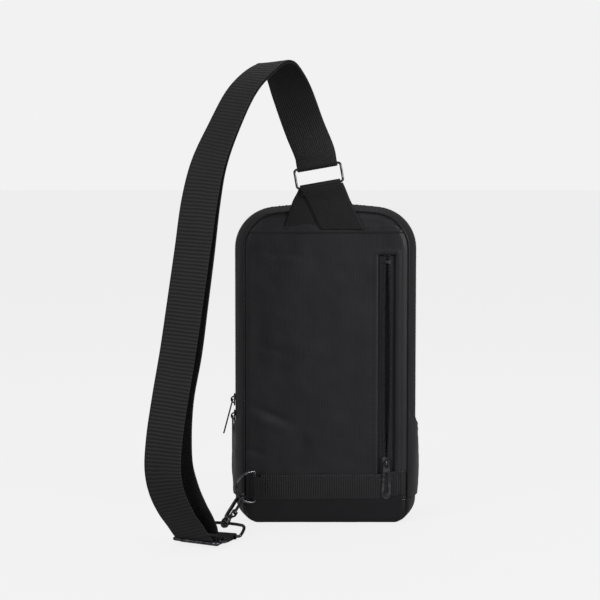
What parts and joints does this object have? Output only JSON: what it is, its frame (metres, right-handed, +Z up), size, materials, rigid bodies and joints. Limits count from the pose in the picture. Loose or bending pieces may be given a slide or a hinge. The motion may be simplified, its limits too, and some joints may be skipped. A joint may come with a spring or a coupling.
{
  "type": "sling bag",
  "caption": "Upright one-shoulder sling bag in dark coated nylon, with a doubled webbing strap that arches up and clips to its lower corner.",
  "frame": {"origin": "middle of the flat base, on the floor", "axes": "+Z up, body side (flat padded back) towards -Y, +X to the right when looking at the body side"},
  "size_m": [0.2663, 0.2335, 0.4548],
  "materials": {
    "satin_cloth": "coated nylon with a satin sheen",
    "woven_cloth": "coarser coated nylon",
    "lining_cloth": "plain lining",
    "webbing": "ribbed nylon webbing",
    "zip_tape": "knitted zip tape",
    "black_metal": "gunmetal plating, semi-gloss",
    "foam": "soft closed-cell pad",
    "stiff_board": "moulded sheet"
  },
  "bodies": {
    "bag_body": {"back_panel": "satin_cloth", "back_yoke": "satin_cloth", "base_back_facing": "woven_cloth", "rear_pocket_lining": "lining_cloth", "back_foam_pad": "foam", "rear_zip_tape_left": "zip_tape", "rear_zip_tape_right": "zip_tape", "rear_zip_top_stop": "black_metal", "gusset_rear": "woven_cloth", "gusset_front": "woven_cloth", "main_zip_tape_rear": "zip_tape", "main_zip_tape_front": "zip_tape", "zip_end_panel_left": "woven_cloth", "zip_end_panel_right": "woven_cloth", "side_pocket_left": "satin_cloth", "side_pocket_right": "satin_cloth", "base_boot": "woven_cloth", "base_stiffener": "stiff_board", "front_pocket_face": "satin_cloth", "front_panel": "satin_cloth", "base_front_facing": "woven_cloth", "front_zip_tape_lower": "zip_tape", "front_zip_tape_upper": "zip_tape", "piping_back": "satin_cloth", "piping_front": "satin_cloth", "inner_divider": "lining_cloth", "lower_webbing": "webbing", "d_ring_fold": "webbing", "tab_back_leg": "webbing", "tab_front_leg": "webbing"},
    "strap_link": {"strap_outer_run": "webbing", "top_ring": "black_metal", "tab_ring_loop": "webbing", "strap_ring_turn": "webbing", "strap_inner_run": "webbing", "strap_bail_fold": "webbing", "hook_bail": "black_metal"},
    "d_ring_link": {"d_ring": "black_metal"},
    "adjuster_link": {"adjuster": "black_metal", "strap_end_loop": "webbing"},
    "hook_link": {"hook_body": "black_metal", "gate_pin": "black_metal"},
    "gate_link": {"hook_gate": "black_metal"},
    "main_upper_slider_link": {"main_upper_slider": "black_metal"},
    "main_upper_pull_link": {"main_upper_pull": "black_metal"},
    "main_lower_slider_link": {"main_lower_slider": "black_metal"},
    "main_lower_pull_link": {"main_lower_pull": "black_metal"},
    "rear_slider_link": {"rear_slider": "black_metal"},
    "rear_pull_link": {"rear_pull": "black_metal"},
    "front_slider_link": {"front_slider": "black_metal"},
    "front_pull_link": {"front_pull": "black_metal"}
  },
  "joints": [
    {"name": "strap_swing", "type": "hinge", "parent": "bag_body", "child": "strap_link", "pos_m": [-0.071, -0.0486, 0.037], "axis": [0.2007, 0.0066, 0.9796], "range_deg": [-35, 0]},
    {"name": "d_ring_swing", "type": "hinge", "parent": "bag_body", "child": "d_ring_link", "pos_m": [-0.071, -0.0486, 0.037], "axis": [0.2007, 0.0066, 0.9796], "range_deg": [-35, 0]},
    {"name": "adjuster_slide", "type": "slide", "parent": "strap_link", "child": "adjuster_link", "axis": [0.4695, 0.8829, 0], "range_m": [0, 0.008]},
    {"name": "hook_swivel", "type": "hinge", "parent": "strap_link", "child": "hook_link", "pos_m": [-0.09792, -0.09362, 0.0117], "axis": [0.296, 0.8861, 0.3566], "range_deg": [-30, 30]},
    {"name": "gate_open", "type": "hinge", "parent": "hook_link", "child": "gate_link", "pos_m": [-0.08969, -0.08531, 0.01897], "axis": [-0.5795, -0.1302, 0.8045], "range_deg": [0, 22], "stiffness_Nm_per_rad": 0.02},
    {"name": "main_upper_slide", "type": "slide", "parent": "bag_body", "child": "main_upper_slider_link", "axis": [0, 0, 1], "range_m": [0, 0.145]},
    {"name": "main_lower_slide", "type": "slide", "parent": "bag_body", "child": "main_lower_slider_link", "axis": [0, 0, 1], "range_m": [-0.0014, 0.004]},
    {"name": "rear_slide", "type": "slide", "parent": "bag_body", "child": "rear_slider_link", "axis": [0, 0, 1], "range_m": [0, 0.193]},
    {"name": "front_slide", "type": "slide", "parent": "bag_body", "child": "front_slider_link", "axis": [1, 0, 0], "range_m": [-0.09, 0]},
    {"name": "main_upper_pull_turn", "type": "hinge", "parent": "main_upper_slider_link", "child": "main_upper_pull_link", "pos_m": [-0.09475, 0, 0.1177], "axis": [0, 1, 0], "range_deg": [0, 120]},
    {"name": "main_lower_pull_turn", "type": "hinge", "parent": "main_lower_slider_link", "child": "main_lower_pull_link", "pos_m": [-0.09475, 0, 0.1007], "axis": [0, 1, 0], "range_deg": [0, 14]},
    {"name": "rear_pull_turn", "type": "hinge", "parent": "rear_slider_link", "child": "rear_pull_link", "pos_m": [0.0602, -0.04505, 0.0597], "axis": [-1, 0, 0], "range_deg": [0, 150]},
    {"name": "front_pull_turn", "type": "hinge", "parent": "front_slider_link", "child": "front_pull_link", "pos_m": [0.0437, 0.05355, 0.238], "axis": [0, 0, -1], "range_deg": [0, 150]}
  ],
  "couplings": [
    {"joint": "d_ring_swing", "follows": "strap_swing", "ratio": 1}
  ]
}
